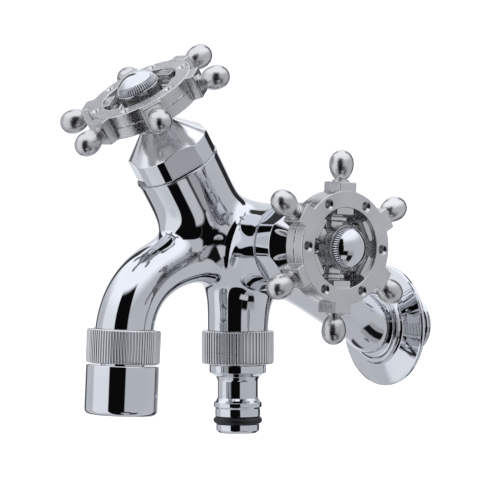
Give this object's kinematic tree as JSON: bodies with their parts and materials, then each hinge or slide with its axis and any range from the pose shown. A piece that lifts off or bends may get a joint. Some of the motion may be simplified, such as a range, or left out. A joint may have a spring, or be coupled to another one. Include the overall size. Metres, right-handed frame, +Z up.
{
  "type": "double outlet tap",
  "caption": "Wall-mounted tap with two stop valves worked by ship's-wheel handles, a curved spout outlet and a straight lower outlet with a quick-connect hose nipple.",
  "frame": {"origin": "on the axis of the inlet thread, in the plane of the wall", "axes": "+Z up, +Y into the wall, the tap stands out towards -Y and the side valve points along +X"},
  "size_m": [0.096, 0.1559, 0.1392],
  "materials": {
    "chrome_cast": "mirror polished chrome on a cast body",
    "chrome_plate": "mirror polished chrome on turned parts",
    "satin_cast": "satin chrome, fine cast grain",
    "satin_knurl": "chrome on a straight knurl",
    "brass": "turned brass",
    "steel": "plain stainless",
    "rubber": "smooth black rubber"
  },
  "bodies": {
    "root": {"body": "chrome_cast", "wall_flange": "chrome_plate", "top_cap_nut": "chrome_plate", "top_packing_washer": "brass", "top_gland_packing": "rubber", "side_cap_nut": "chrome_plate", "side_packing_washer": "brass", "side_gland_packing": "rubber"},
    "top_jumper": {"top_jumper_valve": "brass", "top_jumper_washer": "rubber", "top_jumper_nut": "brass"},
    "top_handle": {"top_spindle": "brass", "top_wheel_handle": "satin_cast", "top_handle_screw": "steel", "top_handle_button": "chrome_plate"},
    "side_jumper": {"side_jumper_valve": "brass", "side_jumper_washer": "rubber", "side_jumper_nut": "brass"},
    "side_handle": {"side_spindle": "brass", "side_wheel_handle": "satin_cast", "side_handle_screw": "steel", "side_handle_button": "chrome_plate"},
    "hose_end": {"hose_nipple": "chrome_plate", "hose_o_ring": "rubber", "hose_gasket": "rubber"},
    "hose_nut": {"hose_union_nut": "satin_knurl"},
    "spout_end_piece": {"spout_nozzle": "chrome_plate", "spout_screen": "steel", "spout_gasket": "rubber"},
    "spout_nut": {"spout_union_nut": "satin_knurl"}
  },
  "joints": [
    {"name": "top_valve_lift", "type": "slide", "parent": "root", "child": "top_jumper", "axis": [0, -0.5299, 0.848], "range_m": [0, 0.004]},
    {"name": "top_handle_turn", "type": "hinge", "parent": "top_jumper", "child": "top_handle", "pos_m": [0, -0.11261, 0.0833], "axis": [0, -0.5299, 0.848], "range_deg": [0, 718]},
    {"name": "side_valve_lift", "type": "slide", "parent": "root", "child": "side_jumper", "axis": [1, 0, 0], "range_m": [0, 0.004]},
    {"name": "side_handle_turn", "type": "hinge", "parent": "side_jumper", "child": "side_handle", "pos_m": [0.0552, -0.0705, 0.032], "axis": [1, 0, 0], "range_deg": [0, 718]},
    {"name": "hose_end_drop", "type": "slide", "parent": "root", "child": "hose_end", "axis": [0, 0, -1], "range_m": [0, 0.00599]},
    {"name": "hose_nut_turn", "type": "hinge", "parent": "hose_end", "child": "hose_nut", "pos_m": [0, -0.0705, -0.0052], "axis": [0, 0, -1], "range_deg": [0, 1440]},
    {"name": "spout_end_drop", "type": "slide", "parent": "root", "child": "spout_end_piece", "axis": [0, -0.0523, -0.9986], "range_m": [0, 0.00599]},
    {"name": "spout_nut_turn", "type": "hinge", "parent": "spout_end_piece", "child": "spout_nut", "pos_m": [0, -0.12186, -0.00299], "axis": [0, -0.0523, -0.9986], "range_deg": [0, 1440]}
  ],
  "couplings": [
    {"joint": "top_valve_lift", "follows": "top_handle_turn", "m_per_rad": 0.00031831},
    {"joint": "side_valve_lift", "follows": "side_handle_turn", "m_per_rad": 0.00031831},
    {"joint": "hose_nut_turn", "follows": "hose_end_drop", "rad_per_m": 4188.8},
    {"joint": "spout_nut_turn", "follows": "spout_end_drop", "rad_per_m": 4188.8}
  ]
}
